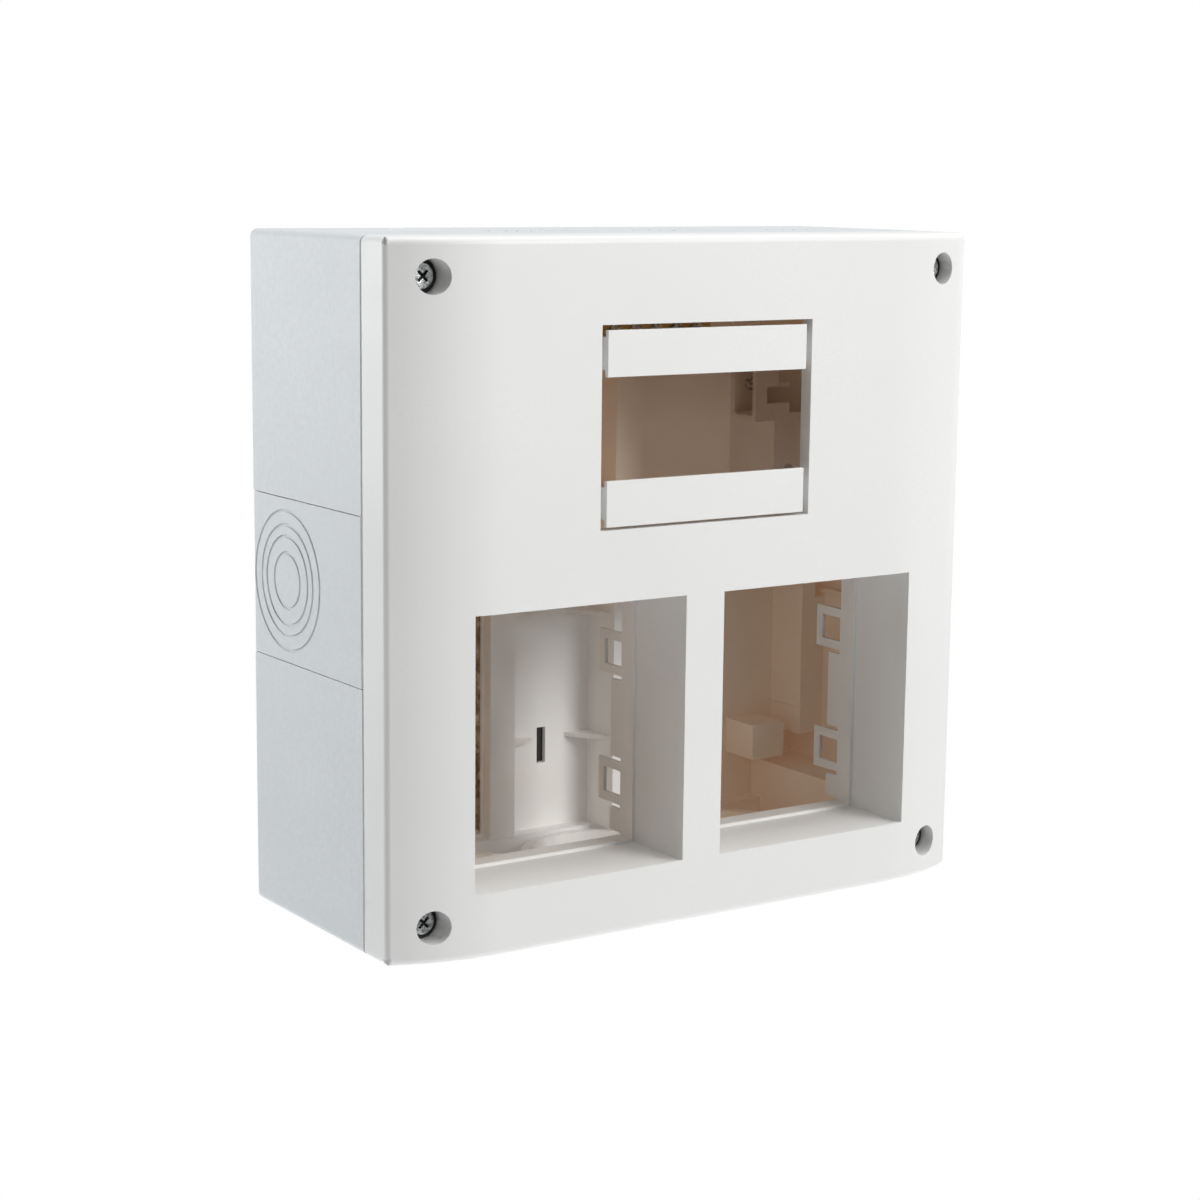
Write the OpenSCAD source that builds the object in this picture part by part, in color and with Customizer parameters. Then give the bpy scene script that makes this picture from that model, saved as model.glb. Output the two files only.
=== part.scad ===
// Surface-mounted residential load center: a back box with ring knock-outs, and a screwed front
// cover with one modular window and two deep accessory windows. The wall face is the plane Y = 0,
// the front looks along -Y, and every depth named d is measured out from the wall.

/* [Enclosure] */
// Width of the enclosure
box_w = 314; // [310:1:330]
// Height of the enclosure
box_h = 310; // [306:1:330]
// Depth of the back box, from the wall to the seam
body_d = 103; // [100:1:106]
// Depth of the whole enclosure, from the wall to the flat of the front
front_d = 135; // [134:0.5:137]
// Wall thickness of the back box
wall = 4; // [3.6:0.1:4.2]
// Radius of the outer edges
edge_r = 3.5; // [2:0.5:4]

/* [Front cover] */
// Width of the shadow gap between the back box and the cover
seam = 1.5; // [1:0.1:2]
// Thickness of the cover's front
cover_t = 2.8; // [2.4:0.1:3]
// Width over which each side of the front curves back
pillow_w = 50; // [45:1:54]
// Radius of that curve
pillow_r = 114; // [110:1:130]
// Distance of the screw wells from the sides
well_inset_x = 19.5; // [18:0.5:20]
// Distance of the screw wells from the top and the bottom
well_inset_z = 16.5; // [15:0.5:17.5]
// Radius of a screw well
well_r = 7.5; // [7:0.1:8]
// Depth of a screw well's floor in front of the seam
well_floor = 14; // [12:1:15]

/* [Windows] */
// Width of each accessory window
acc_w = 109; // [100:1:110]
// Height of each accessory window
acc_h = 122; // [110:1:123]
// Half the width of the bar between the accessory windows
acc_gap = 10.4; // [10:0.2:12]
// Top edge of the accessory windows, measured from the middle of the height
acc_top = -4; // [-6:0.5:-3]
// How far the accessory window walls reach in behind the front
acc_deep = 40; // [36:1:42]
// Width of the modular window
mod_w = 114; // [112:1:116]
// Bottom edge of the modular window
mod_bottom = 28; // [27:0.5:29]
// Top edge of the modular window
mod_top = 117; // [116:0.5:118]
// Height of the open slot between the window strips
slot_h = 45; // [45:0.1:45.5]
// Height of each window strip
strip_h = 20.2; // [19.5:0.1:20.4]

/* [Entries] */
// Height of each side entry plate
side_plate_h = 74; // [70:1:76]
// Width of the top and bottom entry plates
end_plate_w = 242; // [240:1:244]
// Distance between the ring sets of the top and bottom plates
ring_pitch = 78; // [77.5:0.1:78.5]
// Depth of the side ring set's centre
side_ring_d = 33; // [33:0.5:35]
// Thickness of an entry plate's panel
plate_t = 1.7; // [1.5:0.1:1.8]

/* [Screws] */
// Radius of a cover screw's shank
screw_r = 2.2; // [2:0.1:2.3]
// Radius of a cover screw's head
head_r = 5.4; // [5:0.1:5.8]
// Length of a cover screw's shank
shank_l = 34; // [30:1:36]
// Spacing of the wall-fixing holes across
fixing_x = 184; // [180:1:188]
// Spacing of the wall-fixing holes up
fixing_z = 236; // [232:1:240]
// Radius of a wall-fixing hole
fixing_r = 2.75; // [2.5:0.05:3]

/* [Hidden] */
$fn = 64;

white = [0.93, 0.93, 0.92];
ivory = [0.84, 0.80, 0.75];
steel = [0.72, 0.73, 0.74];
brass = [0.78, 0.62, 0.32];
board = [0.52, 0.42, 0.30];
both = [-1, 1];
e = 0.5;                                     // overshoot of a cut
half_w = box_w / 2;
half_h = box_h / 2;
in_x = half_w - wall;                        // inner face of the side walls
in_z = half_h - wall;                        // inner face of the top and bottom walls
tongue_gap = 0.4;                            // clearance between the tongue and the cover
flange_t = 2;                                // wall of the cover's flange
tongue_out = flange_t + tongue_gap;          // tongue's outer face, in from the side
cover_d = body_d + seam;                     // back edge of the cover
axis_x = half_w - pillow_w;                  // vertical axis of each pillow curve
axis_d = front_d - pillow_r;
corner_x = half_w - edge_r;                  // axis of the rounding that joins curve and flange
corner_d = axis_d + sqrt(pow(pillow_r - edge_r, 2) - pow(corner_x - axis_x, 2));
join_x = axis_x + (corner_x - axis_x) * pillow_r / (pillow_r - edge_r);
well_x = half_w - well_inset_x;
well_z = half_h - well_inset_z;
well_d = cover_d + well_floor;               // floor of the screw wells
column_w = 26;                               // corner columns that take the cover screws
column_h = 30;
column_d = body_d + 1;
bore_clear = 0.3;                            // free play round a cover screw
retainer_r = 5.2;
retainer_t = 1.6;
acc_x = acc_gap + acc_w / 2;                 // centre of each accessory window
acc_z = acc_top - acc_h / 2;
tube_t = 2.2;                                // walls of the accessory windows
tube_step = 0.8;                             // step from the window's rim out to its walls
rim_t = 2.6;                                 // depth of that rim
frame_l = 10.3;                              // length of a snap frame
frame_in = 1.5;                              // how far a snap frame stands inside the walls
frame_d = front_d - acc_deep;                // front of a snap frame
loop_l = 18.5;                               // snap loops: length, height, bar width, thickness
loop_h = 20.6;
loop_bar = 4.4;
loop_t = 2;
loop_z = [-39.5, -101];                      // centres of the snap loops
loop_span = loop_z[0] - loop_z[1];
comb_l = 8.5;                                // ribs between the snap loops
strip_w = mod_w - 6.2;
slot_mid = (mod_bottom + mod_top) / 2 - 0.5; // middle of the 45 mm slot
strip_t = 2.2;
strip_leg = 10;
slip = 0.4;                                  // gap round an entry plate
plate_recess = 2;
rings = [63, 50, 40, 25];                    // diameters of the knock-out rings
groove_w = 1.3;
groove_t = 0.8;
end_ring_d = 52;
collar_r = 34;                               // collars inside the top and bottom plates
collar_lip_r = 38.4;
collar_h = 7;
post_in = 23.5;                              // posts that form the middle channel
post_out = 37.5;
step_h = 10;                                 // ledge along the foot of the back
bracket_in = 97;                             // device brackets
bracket_out = 132;
bracket_d = 41;
bar_l = 150;                                 // terminal bars
bar_w = 10;
bar_h = 9;
bar_d = 22;
bar_z = [125, 107];                          // neutral bar, earth bar
bar_pitch = 12;
bar_ways = 12;
holder_l = 166;
insert_x = [-76, -38];                       // rear opening beside the middle channel
insert_z = [-140, -28];
insert_lap = 4;
insert_t = 2;

// Block between two limits on each axis; d is the depth out from the wall
module slab(x, d, z)
    translate([x[0], -d[1], z[0]])
        cube([x[1] - x[0], d[1] - d[0], z[1] - z[0]]);

// Round bar or bore that runs out from the wall
module rod(x, z, d, r)
    translate([x, -d[0], z])
        rotate([90, 0, 0])
            cylinder(h = d[1] - d[0], r = r);

// Round bar that runs across
module rod_x(d, z, x, r)
    translate([x[0], -d, z])
        rotate([0, 90, 0])
            cylinder(h = x[1] - x[0], r = r);

// Upright round bar
module rod_z(x, d, z, r)
    translate([x, -d, z[0]])
        cylinder(h = z[1] - z[0], r = r);

// Slab centred on the face, with its four corners rounded
module rounded_slab(w, h, d, r) {
    slab([-w / 2 + r, w / 2 - r], d, [-h / 2, h / 2]);
    slab([-w / 2, w / 2], d, [-h / 2 + r, h / 2 - r]);
    for (x = both, z = both)
        rod(x * (w / 2 - r), z * (h / 2 - r), d, r);
}

// Four copies at the mirrored corners
module corners(x, z)
    for (i = both, j = both)
        translate([i * x, 0, j * z])
            children();

// Ring grooves in a plate that lies in the XY plane, cut from its outer face at z = 0 upward
module ring_grooves()
    for (dia = rings)
        translate([0, 0, -e])
            difference() {
                cylinder(h = groove_t + e, r = (dia + groove_w) / 2);
                translate([0, 0, -e])
                    cylinder(h = groove_t + 3 * e, r = (dia - groove_w) / 2);
            }

// ---- back box ----

// Recess and opening for a side entry plate on the right
module side_entry_cut() {
    slab([half_w - plate_recess, half_w + e], [-e, body_d + e],
         [-side_plate_h / 2 - slip, side_plate_h / 2 + slip]);
    slab([in_x - e, half_w], [8, 94], [-side_plate_h / 2 + 5, side_plate_h / 2 - 5]);
}

// Recess and opening for the top entry plate
module end_entry_cut() {
    slab([-end_plate_w / 2 - slip, end_plate_w / 2 + slip], [-e, body_d + e],
         [half_h - plate_recess, half_h + e]);
    slab([-end_plate_w / 2 + 3, end_plate_w / 2 - 3], [8, 94], [in_z - e, half_h]);
}

module box_shell() {
    difference() {
        union() {
            rounded_slab(box_w, box_h, [0, body_d], edge_r);
            rounded_slab(box_w - 2 * tongue_out, box_h - 2 * tongue_out,
                         [body_d - e, body_d + 4], edge_r - 1);
        }
        slab([-in_x, in_x], [wall, body_d + 5], [-in_z, in_z]);
        for (side = [0, 1])
            mirror([side, 0, 0])
                side_entry_cut();
        for (end = [0, 1])
            mirror([0, 0, end])
                end_entry_cut();
    }
}

// Posts of the middle channel, with the ledges that brace them
module channel_posts() {
    post_z = [-in_z + step_h, 97];
    slab([-post_out, -post_in], [wall - e, 11], post_z);
    slab([post_in, post_out], [wall - e, 27], post_z);
    for (z = [-96, -34, 28, 90]) {
        translate([0, 0, z])
            linear_extrude(height = 2)
                polygon([[post_in + e, -wall + e], [9, -wall + e], [post_in + e, -25]]);
        slab([-post_in - e, -12], [wall - e, 9], [z, z + 2]);
    }
}

// Upright pads behind the side entries, and the stepped blocks below and above them
module side_pads() {
    for (side = [0, 1])
        mirror([side, 0, 0]) {
            difference() {
                slab([138.7, in_x + e], [wall - e, 29], [-105, 105]);
                slab([147, in_x + 2 * e], [6, 30], [-34, 34]);
                for (z = both)
                    slab([138, 139.4], [wall, 30], [z * 91 - 0.4, z * 91 + 0.4]);
            }
            for (end = [0, 1])
                mirror([0, 0, end])
                    slab([110, 130], [wall - e, 27], [-116, -98]);
        }
}

module screw_columns()
    corners(in_x - column_w / 2, in_z - column_h / 2)
        slab([-column_w / 2 - e / 2, column_w / 2 + e / 2], [wall - e, column_d],
             [-column_h / 2 - e / 2, column_h / 2 + e / 2]);

// Shelf along the foot and the head of the back
module back_steps()
    for (end = [0, 1])
        mirror([0, 0, end])
            slab([-in_x + column_w - e, in_x - column_w + e], [wall - e, 12],
                 [-in_z - e, -in_z + step_h]);

// Rear opening, with a rebate behind it for its insert
module rear_opening() {
    slab(insert_x, [-e, wall + e], insert_z);
    slab(insert_x + [-insert_lap, insert_lap], [-e, insert_t], insert_z + [-insert_lap, insert_lap]);
}

module back_box()
    color(white)
        difference() {
            union() {
                box_shell();
                channel_posts();
                side_pads();
                screw_columns();
                back_steps();
                corners(fixing_x / 2, fixing_z / 2)
                    rod(0, 0, [wall - e, 8], 6);
            }
            for (side = [0, 1])
                mirror([side, 0, 0])
                    rear_opening();
            corners(fixing_x / 2, fixing_z / 2)
                rod(0, 0, [-e, 9], fixing_r);
            corners(well_x, well_z)
                rod(0, 0, [60, column_d + e], screw_r + bore_clear);
            slab([-6.5, -1.5], [-e, wall + e], [-108, -90]);
            for (x = both)
                for (z = [34, 76])
                    rod(x * 119, z, [-e, wall + e], 1.6);
            for (x = both)
                rod(x * 79, 116, [-e, wall + e], 1.6);
        }

// ---- front cover ----

// Upright drum whose rim is rounded, for the curved sides of the front
module drum(r, half_len, round_r)
    rotate_extrude($fn = 128) {
        square([r - round_r, half_len]);
        square([r, half_len - round_r]);
        translate([r - round_r, half_len - round_r])
            circle(r = round_r);
    }

module curved_side() {
    intersection() {
        translate([axis_x, -axis_d, 0]) {
            drum(pillow_r, half_h, edge_r);
            mirror([0, 0, 1])
                drum(pillow_r, half_h, edge_r);
        }
        slab([axis_x, join_x], [cover_d, front_d + e], [-half_h, half_h]);
    }
    rod_z(corner_x, corner_d, [-half_h + edge_r, half_h - edge_r], edge_r);
    for (z = both)
        translate([corner_x, -corner_d, z * (half_h - edge_r)])
            sphere(r = edge_r);
}

module cover_outside()
    intersection() {
        rounded_slab(box_w, box_h, [cover_d, front_d + e], edge_r);
        union() {
            slab([-half_w, half_w], [cover_d, corner_d], [-half_h, half_h]);
            slab([-axis_x, axis_x], [cover_d, front_d - edge_r], [-half_h, half_h]);
            slab([-axis_x, axis_x], [cover_d, front_d], [-half_h + edge_r, half_h - edge_r]);
            for (z = both)
                rod_x(front_d - edge_r, z * (half_h - edge_r), [-axis_x, axis_x], edge_r);
            for (side = [0, 1])
                mirror([side, 0, 0])
                    curved_side();
        }
    }

module cover_cavity() {
    cx = half_w - flange_t;
    cz = half_h - flange_t;
    slab([-cx, cx], [cover_d - e, corner_d - 3], [-cz, cz]);
    intersection() {
        slab([-cx, cx], [cover_d - e, front_d - cover_t], [-cz, cz]);
        union() {
            slab([-axis_x, axis_x], [cover_d - e, front_d - cover_t], [-cz, cz]);
            for (x = both)
                rod_z(x * axis_x, axis_d, [-cz, cz], pillow_r - cover_t);
        }
    }
}

// Walls of an accessory window, with the window cut through
module accessory_walls() {
    w = acc_w / 2 + tube_step + tube_t;
    h = acc_h / 2 + tube_step + tube_t;
    slab([acc_x - w, acc_x + w], [frame_d, front_d - 2], [acc_z - h, acc_z + h]);
}

module accessory_cut() {
    w = acc_w / 2;
    h = acc_h / 2;
    slab([acc_x - w, acc_x + w], [frame_d - e, front_d + e], [acc_z - h, acc_z + h]);
    slab([acc_x - w - tube_step, acc_x + w + tube_step], [frame_d - e, front_d - rim_t],
         [acc_z - h - tube_step, acc_z + h + tube_step]);
}

module modular_walls()
    slab([-mod_w / 2 - 2, mod_w / 2 + 2], [front_d - 7, front_d - e], [mod_bottom - 2, mod_top + 2]);

module modular_cut()
    slab([-mod_w / 2, mod_w / 2], [front_d - 15, front_d + e], [mod_bottom, mod_top]);

// Cheeks that the ends of the window strips slide between
module strip_cheeks()
    for (x = both, z = both)
        translate([x * (mod_w / 2 - 0.9), 0, slot_mid + z * (slot_h + strip_h) / 2])
            slab([-1.2, 1.2], [front_d - 14, front_d - 5], [-6.5, 6.5]);

module front_cover()
    color(white)
        difference() {
            union() {
                difference() {
                    cover_outside();
                    cover_cavity();
                }
                intersection() {
                    cover_outside();
                    corners(well_x, well_z)
                        rod(0, 0, [cover_d, front_d], well_r + 2.2);
                }
                intersection() {
                    slab([-half_w, half_w], [frame_d, front_d - e], [-half_h, half_h]);
                    union() {
                        for (side = [0, 1])
                            mirror([side, 0, 0])
                                accessory_walls();
                        modular_walls();
                    }
                }
                strip_cheeks();
            }
            for (side = [0, 1])
                mirror([side, 0, 0])
                    accessory_cut();
            difference() {
                modular_cut();
                strip_cheeks();
            }
            corners(well_x, well_z) {
                rod(0, 0, [well_d, front_d + e], well_r);
                rod(0, 0, [cover_d - e, well_d + e], screw_r + bore_clear);
                rod(0, 0, [cover_d - e, cover_d + retainer_t], retainer_r);
            }
        }

// ---- window strips ----

// Strip with a leg at each end, centred on z = 0
module window_strip() {
    w = strip_w / 2;
    h = strip_h / 2;
    slab([-w, w], [front_d - strip_t, front_d], [-h, h]);
    for (z = both)
        slab([-w + 4, w - 4], [front_d - 6, front_d - strip_t], [z * (h - 2) - 0.8, z * (h - 2) + 0.8]);
    for (x = both)
        translate([x * (w - 0.8), 0, 0])
            slab([-0.8, 0.8], [front_d - strip_leg, front_d - strip_t], [-h + 3, h - 3]);
}

module window_strip_upper()
    color(white)
        translate([0, 0, slot_mid + (slot_h + strip_h) / 2])
            window_strip();

module window_strip_lower()
    color(white)
        translate([0, 0, slot_mid - (slot_h + strip_h) / 2])
            window_strip();

// ---- entry plates ----

// Plate for the right side
module side_entry_plate() {
    h = side_plate_h / 2;
    difference() {
        slab([half_w - plate_t, half_w], [slip, body_d - slip], [-h, h]);
        translate([half_w, -side_ring_d, 0])
            rotate([0, -90, 0])
                ring_grooves();
    }
    difference() {
        slab([in_x - 1, half_w - plate_t + e / 5], [8.4, 93.6], [-h + 5.4, h - 5.4]);
        slab([in_x - 2, half_w - plate_t - e], [10.4, 91.6], [-h + 7.4, h - 7.4]);
    }
}

// Plate for the top: three ring sets, each with a lipped collar inside
module end_entry_plate() {
    w = end_plate_w / 2;
    difference() {
        slab([-w, w], [slip, body_d - slip], [half_h - plate_t, half_h]);
        for (x = [-1, 0, 1])
            translate([x * ring_pitch, -end_ring_d, half_h])
                rotate([180, 0, 0])
                    ring_grooves();
    }
    for (x = [-1, 0, 1])
        translate([x * ring_pitch, -end_ring_d, in_z - collar_h])
            difference() {
                union() {
                    cylinder(h = half_h - plate_t + e / 5 - in_z + collar_h, r = collar_r + 1.6);
                    translate([0, 0, -2])
                        cylinder(h = 2.2, r = collar_lip_r);
                }
                translate([0, 0, -3])
                    cylinder(h = half_h - plate_t - in_z + collar_h + 3, r = collar_r);
            }
}

module entry_plate_left() color(white) mirror([1, 0, 0]) side_entry_plate();
module entry_plate_right() color(white) side_entry_plate();
module entry_plate_top() color(white) end_entry_plate();
module entry_plate_bottom() color(white) mirror([0, 0, 1]) end_entry_plate();

// ---- cover screws ----

// Cross-recess screw whose head rests on the floor of a well
module cover_screw(x, z)
    color(steel)
        translate([well_x * x, 0, well_z * z])
            difference() {
                union() {
                    rod(0, 0, [well_d + 0.3 - shank_l, well_d + 1], screw_r);
                    rod(0, 0, [well_d + 0.3, well_d + 2.4], head_r);
                    rod(0, 0, [well_d + 2.3, well_d + 3.2], head_r - 0.9);
                }
                for (turn = [45, 135])
                    rotate([0, turn, 0])
                        slab([-3.1, 3.1], [well_d + 1.2, well_d + 4], [-0.65, 0.65]);
            }

module cover_screw_top_left() cover_screw(-1, 1);
module cover_screw_top_right() cover_screw(1, 1);
module cover_screw_bottom_left() cover_screw(-1, -1);
module cover_screw_bottom_right() cover_screw(1, -1);

module screw_retainers()
    color("dimgray")
        corners(well_x, well_z)
            difference() {
                rod(0, 0, [cover_d, cover_d + retainer_t], retainer_r);
                rod(0, 0, [cover_d - e, cover_d + retainer_t + e], screw_r + bore_clear);
            }

// ---- snap frames ----

// Upright U-shaped loop that reaches back from a snap frame; x is its inner face
module snap_loop(x, z)
    difference() {
        slab([x, x + loop_t], [frame_d - frame_l - loop_l, frame_d - frame_l + e],
             [z - loop_h / 2, z + loop_h / 2]);
        slab([x - e, x + loop_t + e], [frame_d - frame_l - loop_l + loop_bar, frame_d - frame_l],
             [z - loop_h / 2 + loop_bar, z + loop_h / 2 - loop_bar]);
    }

// Ribs between the loops
module comb(x) {
    top = loop_z[0] - loop_h / 2 - 2;
    foot = loop_z[1] - loop_h / 2 - 2;
    back = [frame_d - frame_l - comb_l, frame_d - frame_l + e];
    slab([x, x + loop_t], back, [top - loop_span + loop_h + 4, top]);
    slab([x, x + loop_t], back, [acc_z - acc_h / 2 + frame_in, foot]);
}

module snap_frame() {
    w = acc_w / 2 + tube_step;
    h = acc_h / 2 + tube_step;
    back = [frame_d - frame_l, frame_d];
    difference() {
        slab([acc_x - w - tube_t, acc_x + w + tube_t], back, [acc_z - h - tube_t, acc_z + h + tube_t]);
        slab([acc_x - w + frame_in, acc_x + w - frame_in], back + [-e, e],
             [acc_z - h + frame_in, acc_z + h - frame_in]);
    }
    for (x = [acc_x - w + frame_in - loop_t, acc_x + w - frame_in]) {
        for (z = loop_z)
            snap_loop(x, z);
        comb(x);
    }
}

module snap_frame_right() color(white) snap_frame();
module snap_frame_left() color(white) mirror([1, 0, 0]) snap_frame();

// ---- device brackets ----

// Bracket with a hook plate that looks forward, for the right side
module rail_bracket() {
    hook = [bracket_d - 3, bracket_d];
    difference() {
        union() {
            slab([109, bracket_out], [wall, bracket_d], [22, 62]);
            slab([bracket_in, bracket_out], [wall + 16, bracket_d], [60, 63]);
            slab([bracket_in, bracket_out], hook, [60, 94]);
            slab([bracket_out - 3, bracket_out], [wall, bracket_d], [60, 94]);
            slab([109, bracket_out], [wall, wall + 3], [60, 94]);
        }
        slab([111, bracket_out - 3], hook + [-e, e], [79, 95]);
        slab([104, bracket_out - 3], hook + [-e, e], [69, 77]);
        slab([118, bracket_out - 3], hook + [-e, e], [64, 80]);
        slab([112, bracket_out - 3], [wall + 3, bracket_d - 3], [21, 61]);
        rod(119, 34, [wall - e, wall + 4], 2);
        rod(119, 76, [wall - e, wall + 4], 2);
        rod(119, 34, [bracket_d - 4, bracket_d + e], 4.5);
    }
}

module rail_bracket_right() color(ivory) rail_bracket();
module rail_bracket_left() color(ivory) mirror([1, 0, 0]) rail_bracket();

// Pan-head screw at the origin that goes in towards the wall from depth d
module pan_screw(d, r, head, len) {
    rod(0, 0, [d - len, d + e], r);
    difference() {
        rod(0, 0, [d, d + 2], head);
        slab([-head, head], [d + 1.1, d + 3], [-0.5, 0.5]);
    }
}

module bracket_screws()
    color(steel)
        for (x = both, z = [34, 76])
            translate([x * 119, 0, z])
                pan_screw(wall + 3, 1.6, 3.4, 6);

// ---- terminals ----

module terminal_holder()
    color("lightsteelblue")
        difference() {
            union() {
                slab([-holder_l / 2, holder_l / 2], [wall, wall + 4], [99, 133]);
                for (x = both)
                    slab([x * 68 - 3, x * 68 + 3], [wall + 3, bar_d], [101, 131]);
                for (x = both, z = bar_z)
                    slab([x * 74 - 2.5, x * 74 + 2.5], [bar_d - e, bar_d + bar_w - 2],
                         [z - bar_h / 2 - 2, z + bar_h / 2 + 2]);
                for (x = both)
                    slab([x * 74 - 2.5, x * 74 + 2.5], [wall + 3, bar_d], [101, 131]);
            }
            for (z = bar_z)
                slab([-bar_l / 2, bar_l / 2], [bar_d, bar_d + bar_w],
                     [z - bar_h / 2, z + bar_h / 2]);
            for (x = both)
                rod(x * 79, 116, [wall - e, wall + 5], 1.6);
        }

// Bar with upright wire holes and a screw over each one
module terminal_bar(z)
    difference() {
        slab([-bar_l / 2, bar_l / 2], [bar_d, bar_d + bar_w], [z - bar_h / 2, z + bar_h / 2]);
        for (i = [0:bar_ways - 1])
            translate([(i - (bar_ways - 1) / 2) * bar_pitch, 0, 0]) {
                rod_z(0, bar_d + 3.8, [z - bar_h, z + bar_h], 2.4);
                rod(0, z, [bar_d + 4, bar_d + bar_w + e], 1.7);
            }
    }

module terminal_screws(z)
    for (i = [0:bar_ways - 1])
        translate([(i - (bar_ways - 1) / 2) * bar_pitch, 0, z])
            pan_screw(bar_d + bar_w, 1.7, 3, 3.6);

module neutral_bar() color(brass) terminal_bar(bar_z[0]);
module earth_bar() color(brass) terminal_bar(bar_z[1]);
module neutral_terminal_screws() color(steel) terminal_screws(bar_z[0]);
module earth_terminal_screws() color(steel) terminal_screws(bar_z[1]);

module holder_screws()
    color(steel)
        for (x = both)
            translate([x * 79, 0, 116])
                pan_screw(wall + 4, 1.6, 2, 7);

// ---- rear inserts and fixing washers ----

module rear_insert()
    slab(insert_x + [-insert_lap + slip, insert_lap - slip], [0.2, insert_t],
         insert_z + [-insert_lap + slip, insert_lap - slip]);

module rear_insert_left() color(board) rear_insert();
module rear_insert_right() color(board) mirror([1, 0, 0]) rear_insert();

// Sealing washers on the bosses of the wall-fixing holes
module fixing_washers()
    color("dimgray")
        corners(fixing_x / 2, fixing_z / 2)
            difference() {
                rod(0, 0, [8, 9.6], 5.6);
                rod(0, 0, [7, 11], fixing_r + 0.2);
            }

back_box();
front_cover();
window_strip_upper();
window_strip_lower();
entry_plate_left();
entry_plate_right();
entry_plate_top();
entry_plate_bottom();
cover_screw_top_left();
cover_screw_top_right();
cover_screw_bottom_left();
cover_screw_bottom_right();
screw_retainers();
snap_frame_left();
snap_frame_right();
rail_bracket_left();
rail_bracket_right();
bracket_screws();
terminal_holder();
neutral_bar();
earth_bar();
neutral_terminal_screws();
earth_terminal_screws();
holder_screws();
rear_insert_left();
rear_insert_right();
fixing_washers();
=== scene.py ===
"""Looks of the wall-mounted load center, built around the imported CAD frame.

Metres, +Z up. The wall is at Y = 0 and the cover faces -Y.
"""
import math

import bpy
from mathutils import Matrix, Vector


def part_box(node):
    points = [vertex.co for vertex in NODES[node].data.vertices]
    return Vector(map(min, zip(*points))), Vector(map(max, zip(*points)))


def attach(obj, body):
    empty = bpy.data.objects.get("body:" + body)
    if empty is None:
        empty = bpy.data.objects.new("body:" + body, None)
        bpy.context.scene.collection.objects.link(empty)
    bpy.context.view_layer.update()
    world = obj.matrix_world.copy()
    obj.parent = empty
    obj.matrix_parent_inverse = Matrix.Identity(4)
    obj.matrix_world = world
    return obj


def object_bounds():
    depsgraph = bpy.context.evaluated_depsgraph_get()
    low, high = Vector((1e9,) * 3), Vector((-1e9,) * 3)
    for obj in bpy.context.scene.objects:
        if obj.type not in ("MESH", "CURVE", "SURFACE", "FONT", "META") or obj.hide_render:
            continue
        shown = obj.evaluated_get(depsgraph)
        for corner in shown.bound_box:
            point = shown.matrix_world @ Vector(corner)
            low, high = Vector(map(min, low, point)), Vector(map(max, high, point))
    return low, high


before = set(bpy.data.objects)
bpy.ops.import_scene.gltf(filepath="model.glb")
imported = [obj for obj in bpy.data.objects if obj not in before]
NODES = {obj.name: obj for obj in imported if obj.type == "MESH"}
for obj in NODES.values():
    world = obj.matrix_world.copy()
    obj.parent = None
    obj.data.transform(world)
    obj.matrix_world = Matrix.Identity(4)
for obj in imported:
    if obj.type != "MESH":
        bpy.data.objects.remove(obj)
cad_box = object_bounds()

MM = 0.001
SCENE = bpy.context.scene

BOX_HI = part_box("back_box")[1]
HALF_W = BOX_HI.x
HALF_H = BOX_HI.z


# ---- camera ----

CAM_PLACE = Vector((-0.6545, -1.0335, 0.1823))
CAM_YAW = 33.63                 # degrees to the right of straight at the wall
CAM_PITCH = 9.70                # degrees down
CAM_ROLL = 0.60
CAM_LENS = 75.45                # mm, on a sensor 36 mm wide
CAM_SENSOR = 36
CAM_REACH = 20


def make_camera():
    yaw, pitch, roll = (math.radians(a) for a in (CAM_YAW, CAM_PITCH, CAM_ROLL))
    ahead = Vector((math.sin(yaw) * math.cos(pitch),
                    math.cos(yaw) * math.cos(pitch),
                    -math.sin(pitch)))
    level = Vector((math.cos(yaw), -math.sin(yaw), 0))
    up = level.cross(ahead)
    right = level * math.cos(roll) + up * math.sin(roll)
    up = right.cross(ahead)
    data = bpy.data.cameras.new("camera")
    data.lens = CAM_LENS
    data.sensor_width = CAM_SENSOR
    data.clip_end = CAM_REACH
    camera = bpy.data.objects.new("camera", data)
    turn = Matrix((right, up, -ahead)).transposed().to_4x4()
    camera.matrix_world = Matrix.Translation(CAM_PLACE) @ turn
    SCENE.collection.objects.link(camera)
    SCENE.camera = camera


# ---- node helpers ----

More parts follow.
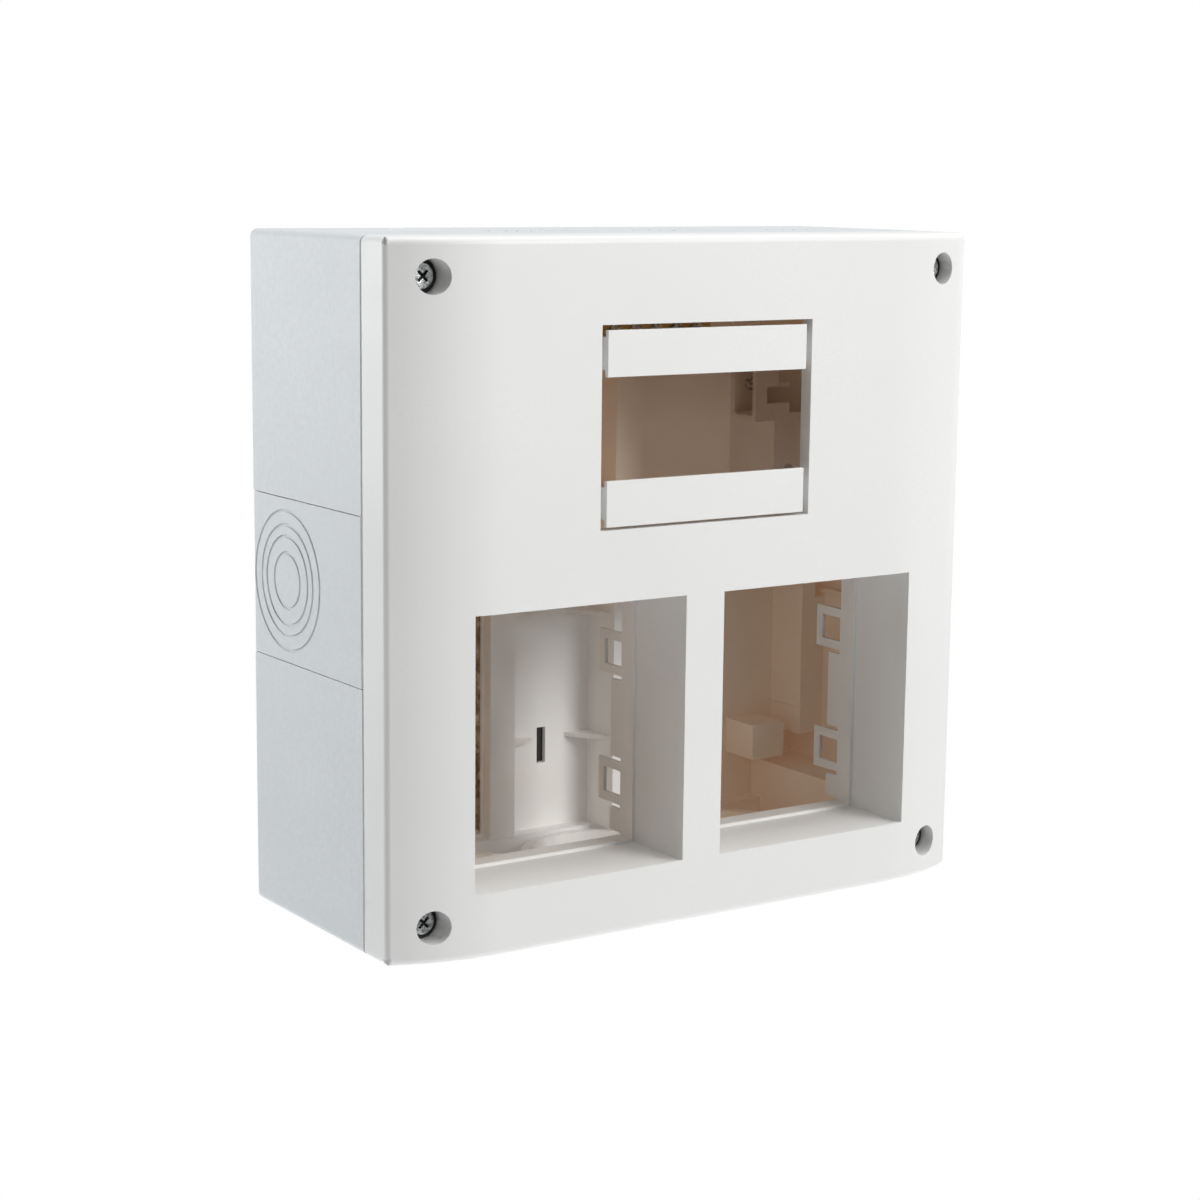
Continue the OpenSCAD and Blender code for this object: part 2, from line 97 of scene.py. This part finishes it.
class Shader:
    """A material with a Principled shader, and short calls for the nodes that feed it."""

    def __init__(self, name, color, rough, metal=0.0, **fixed):
        self.mat = bpy.data.materials.new(name)
        self.mat.use_nodes = True
        self.tree = self.mat.node_tree
        self.shader = self.tree.nodes["Principled BSDF"]
        self.shader.inputs["Base Color"].default_value = (*color, 1)
        self.shader.inputs["Roughness"].default_value = rough
        self.shader.inputs["Metallic"].default_value = metal
        for socket, value in fixed.items():
            self.shader.inputs[socket.replace("_", " ")].default_value = value
        self.mat.diffuse_color = (*color, 1)
        coords = self.tree.nodes.new("ShaderNodeTexCoord")
        self.place = coords.outputs["Object"]

    def link(self, source, target):
        self.tree.links.new(source, target)

    def noise(self, scale, detail=3.0, stretch=None, rough=0.55):
        """Noise of about `scale` features a metre, stretched by a vector where one is given."""
        source = self.place
        if stretch:
            mapping = self.tree.nodes.new("ShaderNodeMapping")
            mapping.inputs["Scale"].default_value = stretch
            self.link(source, mapping.inputs["Vector"])
            source = mapping.outputs["Vector"]
        node = self.tree.nodes.new("ShaderNodeTexNoise")
        node.inputs["Scale"].default_value = scale
        node.inputs["Detail"].default_value = detail
        node.inputs["Roughness"].default_value = rough
        self.link(source, node.inputs["Vector"])
        return node.outputs["Fac"]

    def range(self, source, low, high, out_low, out_high):
        node = self.tree.nodes.new("ShaderNodeMapRange")
        ends = {"From Min": low, "From Max": high, "To Min": out_low, "To Max": out_high}
        for socket, value in ends.items():
            node.inputs[socket].default_value = value
        self.link(source, node.inputs["Value"])
        return node.outputs["Result"]

    def math(self, kind, a, b=0.0):
        node = self.tree.nodes.new("ShaderNodeMath")
        node.operation = kind
        for i, value in enumerate((a, b)):
            if isinstance(value, (int, float)):
                node.inputs[i].default_value = value
            else:
                self.link(value, node.inputs[i])
        return node.outputs[0]

    def mix(self, factor, a, b):
        node = self.tree.nodes.new("ShaderNodeMix")
        node.data_type = "RGBA"
        node.clamp_factor = True
        sockets = {"Factor": factor, "A": a, "B": b}
        for name, value in sockets.items():
            target = next(s for s in node.inputs if s.name == name and s.enabled)
            if isinstance(value, tuple):
                target.default_value = (*value, 1)
            elif isinstance(value, (int, float)):
                target.default_value = value
            else:
                self.link(value, target)
        return next(s for s in node.outputs if s.enabled)

    def axes(self):
        node = self.tree.nodes.new("ShaderNodeSeparateXYZ")
        self.link(self.place, node.inputs[0])
        return node.outputs

    def color(self, source):
        self.link(source, self.shader.inputs["Base Color"])

    def rough(self, source):
        self.link(source, self.shader.inputs["Roughness"])

    def bump(self, source, depth):
        """Bump of `depth` metres; a second call adds to the first."""
        node = self.tree.nodes.new("ShaderNodeBump")
        node.inputs["Strength"].default_value = 1
        node.inputs["Distance"].default_value = depth
        self.link(source, node.inputs["Height"])
        before = self.shader.inputs["Normal"].links
        if before:
            self.link(before[0].from_socket, node.inputs["Normal"])
        self.link(node.outputs["Normal"], self.shader.inputs["Normal"])


# ---- materials ----

def tone(color, factor):
    return tuple(c * factor for c in color)


COVER_WHITE = (0.87, 0.87, 0.86)
STRIP_WHITE = tone(COVER_WHITE, 1.01)
BOX_WHITE = (0.74, 0.765, 0.78)
SKIN = 1.2 * MM                 # how far in from the box's outside its inner colour starts
INNER_PALE = (0.93, 0.92, 0.90)
# painted shade: the brown that the shaded parts of the box's inside take on
INNER_SHADE_BROWN = (0.93, 0.80, 0.66)
PAINTED_GLOW_PALE = (0.032, 0.031, 0.030)           # painted light: a faint glow that lifts the shade inside the box
PAINTED_GLOW_BROWN = (0.034, 0.021, 0.014)
BRASS = (0.80, 0.58, 0.26)

# colour, roughness, grains a metre, depth of the grain, strength of the speckle
PLASTICS = {
    "cover_plastic": (COVER_WHITE, 0.40, 1500, 0.00001, 0.012),
    "strip_plastic": (STRIP_WHITE, 0.36, 1800, 0.000008, 0.01),
    "frame_plastic": ((0.90, 0.89, 0.87), 0.38, 1600, 0.00001, 0.012),
    "bracket_plastic": ((0.90, 0.80, 0.70), 0.42, 1400, 0.00001, 0.02),
    "holder_plastic": ((0.10, 0.17, 0.30), 0.32, 1600, 0.00001, 0.02),
    "washer_rubber": ((0.03, 0.03, 0.032), 0.7, 2200, 0.00002, 0.2),
}


def moulded(name, color, rough, grain, grain_depth, speckle):
    """Moulded plastic: slight cloudiness, fine speckle, moulded grain and faint handling smears."""
    s = Shader(name, color, rough, Specular_IOR_Level=0.45)
    cloud = s.noise(9, 2)
    fleck = s.noise(grain * 0.5, 2)
    clouded = s.range(cloud, 0.3, 0.7, 0, 1)
    base = s.mix(clouded, tone(color, 0.975), tone(color, 1.02))
    base = s.mix(s.range(fleck, 0.35, 0.65, 0, 1), tone(color, 1 - speckle), base)
    s.color(base)
    smear = s.noise(16, 4, stretch=(1, 1, 2.5))
    s.rough(s.range(smear, 0.3, 0.7, rough - 0.05, rough + 0.07))
    s.bump(s.noise(grain, 2), grain_depth)
    return s, base


def plastic(name):
    return moulded(name, *PLASTICS[name])[0].mat


def inside_mask(s, half_x, half_z):
    """1 on the faces of a casing that lie inside its outer skin, 0 on the skin."""
    x, y, z = s.axes()
    near_x = s.math("LESS_THAN", s.math("ABSOLUTE", x), half_x)
    near_z = s.math("LESS_THAN", s.math("ABSOLUTE", z), half_z)
    front = s.math("LESS_THAN", y, -1 * MM)
    return s.math("MULTIPLY", s.math("MULTIPLY", near_x, near_z), front)


def box_plastic():
    """Bluish white outside; inside, pale in the lower middle and browner to the sides and top, which
    is painted shade, with a faint painted glow.
    """
    s, base = moulded("box_plastic", BOX_WHITE, 0.46, 900, 0.00003, 0.05)
    inside = inside_mask(s, HALF_W - SKIN, HALF_H - SKIN)
    x, _, z = s.axes()
    # painted shade: the inside goes brown away from the lower middle, where the key light reaches,
    # with a noisy edge
    aside = s.range(s.math("ABSOLUTE", x), 40 * MM, 90 * MM, 0, 1)
    above = s.range(z, -40 * MM, 20 * MM, 0, 1)
    blotch = s.range(s.noise(14, 3), 0.3, 0.7, -0.15, 0.15)
    painted_shade = s.math("ADD", s.math("MAXIMUM", aside, above), blotch)
    inner = s.mix(painted_shade, INNER_PALE, INNER_SHADE_BROWN)
    s.color(s.mix(inside, base, inner))
    # painted light: the inside faces glow faintly, pale or brown along the painted shade mask
    painted_glow = s.mix(inside, (0, 0, 0), s.mix(painted_shade, PAINTED_GLOW_PALE, PAINTED_GLOW_BROWN))
    s.link(painted_glow, s.shader.inputs["Emission Color"])
    s.shader.inputs["Emission Strength"].default_value = 1
    return s.mat


def screw_steel():
    """Bright zinc with dark stains and, in the cover screws, painted shade: near black from about
    1.6 mm behind the head's face to 4 mm deep.
    """
    s = Shader("screw_steel", (0.78, 0.79, 0.80), 0.2, metal=1.0)
    scratch = s.noise(900, 3, stretch=(1, 1, 6))
    s.rough(s.range(scratch, 0.35, 0.65, 0.12, 0.3))
    stain = s.noise(420, 3)
    stained = s.range(stain, 0.42, 0.6, 0, 0.9)
    base = s.mix(stained, (0.90, 0.91, 0.92), (0.30, 0.31, 0.31))
    # painted shade: the cover screws turn near black deeper than about 1.6 mm behind the head's
    # face, down to 4 mm
    _, y, _ = s.axes()
    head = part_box("cover_screw_top_left")[0].y
    shade_depth = s.range(y, head + 0.9 * MM, head + 1.6 * MM, 0, 0.93)
    recess_shade = s.math("MULTIPLY", shade_depth, s.math("LESS_THAN", y, head + 4 * MM))
    s.color(s.mix(recess_shade, base, (0.02, 0.02, 0.022)))
    s.bump(scratch, 0.00001)
    return s.mat


def bar_brass():
    s = Shader("bar_brass", BRASS, 0.28, metal=1.0)
    drawn = s.noise(240, 3, stretch=(0.05, 1, 1))
    s.rough(s.range(drawn, 0.3, 0.7, 0.2, 0.38))
    s.color(s.mix(s.range(drawn, 0.4, 0.7, 0, 0.6), BRASS, (0.62, 0.42, 0.18)))
    s.bump(drawn, 0.00002)
    return s.mat


def insert_board():
    """Raw fibreboard: short pale and dark fibres on brown."""
    s = Shader("insert_board", (0.26, 0.16, 0.09), 0.85)
    fibre = s.noise(260, 6, stretch=(1, 1, 0.45), rough=0.7)
    chip = s.noise(110, 3)
    base = s.mix(s.range(fibre, 0.38, 0.62, 0, 1), (0.20, 0.12, 0.06), (0.62, 0.47, 0.31))
    s.color(s.mix(s.range(chip, 0.54, 0.66, 0, 0.8), base, (0.86, 0.80, 0.72)))
    s.bump(fibre, 0.0004)
    return s.mat


# ---- dressing the CAD nodes ----

WELD_GAP = 0.01 * MM
FLAT_ANGLE = 0.05               # degrees between facets that count as one face
SHARP_ANGLE = 32                # degrees from which an edge is rounded


def soften(node, width):
    """Welds a node, joins its flat facets, rounds its sharp edges and evens its shading."""
    obj = NODES[node]
    obj.data.polygons.foreach_set("use_smooth", [True] * len(obj.data.polygons))
    weld = obj.modifiers.new("weld", "WELD")
    weld.merge_threshold = WELD_GAP
    flat = obj.modifiers.new("flat", "DECIMATE")
    flat.decimate_type = "DISSOLVE"
    flat.angle_limit = math.radians(FLAT_ANGLE)
    bevel = obj.modifiers.new("bevel", "BEVEL")
    bevel.width = width
    bevel.segments = 2
    bevel.limit_method = "ANGLE"
    bevel.angle_limit = math.radians(SHARP_ANGLE)
    even = obj.modifiers.new("even", "WEIGHTED_NORMAL")
    even.weight = 60
    even.keep_sharp = True


def paint(node, material):
    obj = NODES[node]
    obj.data.materials.clear()
    obj.data.materials.append(material)


def dress_nodes():
    """Every CAD node's material and edge rounding, by a part of its name; the first match counts."""
    box = box_plastic()
    steel = screw_steel()
    rubber = plastic("washer_rubber")
    looks = [
        ("back_box", box, 0.35 * MM),
        ("entry_plate_", box, 0.18 * MM),
        ("front_cover", plastic("cover_plastic"), 0.45 * MM),
        ("window_strip_", plastic("strip_plastic"), 0.4 * MM),
        ("snap_frame_", plastic("frame_plastic"), 0.3 * MM),
        ("rail_bracket_", plastic("bracket_plastic"), 0.3 * MM),
        ("terminal_holder", plastic("holder_plastic"), 0.3 * MM),
        ("cover_screw_", steel, 0.15 * MM),
        ("_screws", steel, 0.12 * MM),
        ("_bar", bar_brass(), 0.2 * MM),
        ("rear_insert_", insert_board(), 0.2 * MM),
        ("screw_retainers", rubber, 0.2 * MM),
        ("fixing_washers", rubber, 0.2 * MM),
    ]
    for name in sorted(NODES):
        material, width = next((m, w) for key, m, w in looks if key in name)
        paint(name, material)
        soften(name, width)
    # painted shade: dark rings on the screw wells' floors, round the heads
    well_shade_rings(rubber)
    # painted shade: a dark patch that fills the fixing slot in the back
    slot_shade_patch(rubber)


# ---- small pieces ----

def add_piece(name, mesh, material, body):
    piece = bpy.data.objects.new(name, mesh)
    SCENE.collection.objects.link(piece)
    mesh.materials.append(material)
    mesh.polygons.foreach_set("use_smooth", [True] * len(mesh.polygons))
    edge = piece.modifiers.new("bevel", "BEVEL")
    edge.width = 0.15 * MM
    edge.segments = 2
    edge.limit_method = "ANGLE"
    even = piece.modifiers.new("even", "WEIGHTED_NORMAL")
    even.keep_sharp = True
    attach(piece, body)


def ring_mesh(name, centre, outer, inner, thick):
    """Flat ring whose axis runs out from the wall; centre is the middle of its back."""
    steps = 48
    verts = []
    for y in (0, -thick):
        for r in (outer, inner):
            for i in range(steps):
                a = 2 * math.pi * i / steps
                spot = (centre.x + r * math.cos(a), centre.y + y, centre.z + r * math.sin(a))
                verts.append(spot)
    faces = []
    back_out, back_in, front_out, front_in = (k * steps for k in range(4))
    for i in range(steps):
        j = (i + 1) % steps
        faces.append((back_out + i, back_out + j, front_out + j, front_out + i))
        faces.append((back_in + j, back_in + i, front_in + i, front_in + j))
        faces.append((front_out + i, front_out + j, front_in + j, front_in + i))
        faces.append((back_out + j, back_out + i, back_in + i, back_in + j))
    mesh = bpy.data.meshes.new(name)
    mesh.from_pydata(verts, [], faces)
    return mesh


def slab_mesh(name, lo, hi, corner):
    """Slab with rounded corners in elevation."""
    steps = 6
    corners = ((hi.x, hi.z, 0), (lo.x, hi.z, 90), (lo.x, lo.z, 180), (hi.x, lo.z, 270))
    outline = []
    for cx, cz, start in corners:
        ox = cx - corner if cx == hi.x else cx + corner
        oz = cz - corner if cz == hi.z else cz + corner
        for i in range(steps + 1):
            a = math.radians(start + 90 * i / steps)
            outline.append((ox + corner * math.cos(a), oz + corner * math.sin(a)))
    n = len(outline)
    verts = [(x, y, z) for y in (hi.y, lo.y) for x, z in outline]
    faces = [tuple(range(n)), tuple(reversed(range(n, 2 * n)))]
    faces += [(i, n + i, n + (i + 1) % n, (i + 1) % n) for i in range(n)]
    mesh = bpy.data.meshes.new(name)
    mesh.from_pydata(verts, [], faces)
    return mesh


HEAD_DEPTH = 2.9 * MM           # of a cover screw's head
SHADE_RING_SINK = 0.3 * MM            # how far the back of a dark painted-shade ring lies behind the head


def well_shade_rings(material):
    """Dark ring on the floor of each screw well, round the screw's head: painted shade, a dark piece
    standing where there is only shade.
    """
    for place in ("top_left", "top_right", "bottom_left", "bottom_right"):
        lo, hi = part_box("cover_screw_" + place)
        middle = (lo + hi) / 2
        head_r = (hi.x - lo.x) / 2
        floor = Vector((middle.x, lo.y + HEAD_DEPTH + SHADE_RING_SINK, middle.z))
        name = "well_shade_ring_" + place
        ring = ring_mesh(name, floor, head_r + 2 * MM, head_r + 0.3 * MM, 1.3 * MM)
        add_piece(name, ring, material, "cover")


def slot_shade_patch(material):
    """Thin dark patch that closes the fixing slot in the back: painted shade, standing in for the
    dark seen in the slot.
    """
    lo = Vector((-6.4, -1.6, -107.9)) * MM
    hi = Vector((-1.6, -0.8, -90.1)) * MM
    slab = slab_mesh("slot_shade_patch", lo, hi, 0.4 * MM)
    add_piece("slot_shade_patch", slab, material, "box")


# ---- stage ----

def area_light(name, place, target, size, power, color=(1, 1, 1)):
    data = bpy.data.lights.new(name, "AREA")
    data.shape = "RECTANGLE"
    data.size, data.size_y = size
    data.energy = power
    data.color = color
    light = bpy.data.objects.new(name, data)
    light.location = place
    aim = Vector(target) - Vector(place)
    light.rotation_euler = aim.to_track_quat("-Z", "Y").to_euler()
    SCENE.collection.objects.link(light)


FILL_DARK = 0.03                # strength of the surroundings away from FILL_SIDE
FILL_BRIGHT = 0.55              # and towards it
FILL_SIDE = Vector((0.8, 0.3, 0.5))
KEY = 20                        # watts
SIDE = 22
TOP = 14
FLOOR_DROP = 1.2                # the object hangs on a wall, this far above the floor
FLOOR_REACH = 1.8
FLOOR_GLOW = 0.68


def make_floor():
    ground = cad_box[0][2] - FLOOR_DROP
    mesh = bpy.data.meshes.new("floor")
    signs = ((-1, -1), (1, -1), (1, 1), (-1, 1))
    corners = [(x * FLOOR_REACH, y * FLOOR_REACH, ground) for x, y in signs]
    mesh.from_pydata(corners, [], [(0, 1, 2, 3)])
    floor = bpy.data.objects.new("floor", mesh)
    SCENE.collection.objects.link(floor)
    s = Shader("floor", (0.9, 0.9, 0.9), 0.9, Emission_Strength=FLOOR_GLOW)
    s.shader.inputs["Emission Color"].default_value = (1, 1, 1, 1)
    s.color(s.mix(s.noise(3, 2), (0.89, 0.89, 0.89), (0.91, 0.91, 0.91)))
    mesh.materials.append(s.mat)


def make_world():
    """Soft light that is brighter on one side; the camera sees plain white instead."""
    world = bpy.data.worlds.new("world")
    SCENE.world = world
    world.use_nodes = True
    tree = world.node_tree
    fill = tree.nodes["Background"]
    fill.inputs["Color"].default_value = (0.96, 0.98, 1, 1)
    coords = tree.nodes.new("ShaderNodeTexCoord")
    aim = tree.nodes.new("ShaderNodeVectorMath")
    aim.operation = "DOT_PRODUCT"
    aim.inputs[1].default_value = FILL_SIDE.normalized()
    ramp = tree.nodes.new("ShaderNodeMapRange")
    ends = {"From Min": -0.8, "From Max": 0.8, "To Min": FILL_DARK, "To Max": FILL_BRIGHT}
    for socket, value in ends.items():
        ramp.inputs[socket].default_value = value
    tree.links.new(coords.outputs["Generated"], aim.inputs[0])
    tree.links.new(aim.outputs["Value"], ramp.inputs["Value"])
    tree.links.new(ramp.outputs["Result"], fill.inputs["Strength"])
    paper = tree.nodes.new("ShaderNodeBackground")
    paper.inputs["Color"].default_value = (1, 1, 1, 1)
    paper.inputs["Strength"].default_value = 1.0
    path = tree.nodes.new("ShaderNodeLightPath")
    mix = tree.nodes.new("ShaderNodeMixShader")
    tree.links.new(path.outputs["Is Camera Ray"], mix.inputs[0])
    tree.links.new(fill.outputs[0], mix.inputs[1])
    tree.links.new(paper.outputs[0], mix.inputs[2])
    tree.links.new(mix.outputs[0], tree.nodes["World Output"].inputs["Surface"])
    SCENE.view_settings.view_transform = "Standard"
    SCENE.view_settings.look = "None"


def make_lights():
    middle = (0, -0.07, 0)
    area_light("key", (0.74, -1.72, 0.73), middle, (0.8, 0.8), KEY, (1, 0.99, 0.97))
    area_light("side", (-1.35, 1.15, 0.35), middle, (1.0, 1.0), SIDE, (0.97, 0.99, 1))
    area_light("top", (0.1, -0.3, 1.7), middle, (1.2, 0.8), TOP)


make_camera()
dress_nodes()
make_floor()
make_world()
make_lights()
